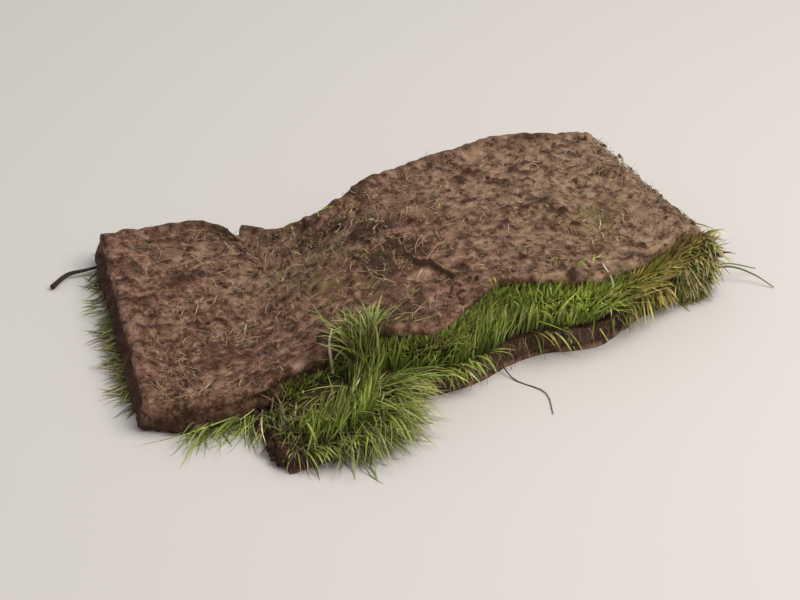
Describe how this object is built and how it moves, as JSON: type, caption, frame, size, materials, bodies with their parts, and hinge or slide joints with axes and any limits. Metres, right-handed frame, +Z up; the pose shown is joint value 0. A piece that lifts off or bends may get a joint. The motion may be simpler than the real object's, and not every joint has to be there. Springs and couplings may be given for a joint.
{
  "type": "roll of turf",
  "caption": "Strip of cut lawn turned over on itself once, with bare root-bound soil outside and grass inside that fringes out along its front edge",
  "frame": {"origin": "bottom centre of the box round the whole piece, on the ground", "axes": "X runs along the strip's front edge towards its turn, Y from the front edge to the back edge, Z up"},
  "size_m": [0.506, 0.367, 0.068],
  "materials": {
    "soil": "matte",
    "grass": "matte"
  },
  "bodies": {
    "root": {"root_mat": "soil", "grass_sward": "grass"}
  },
  "joints": []
}
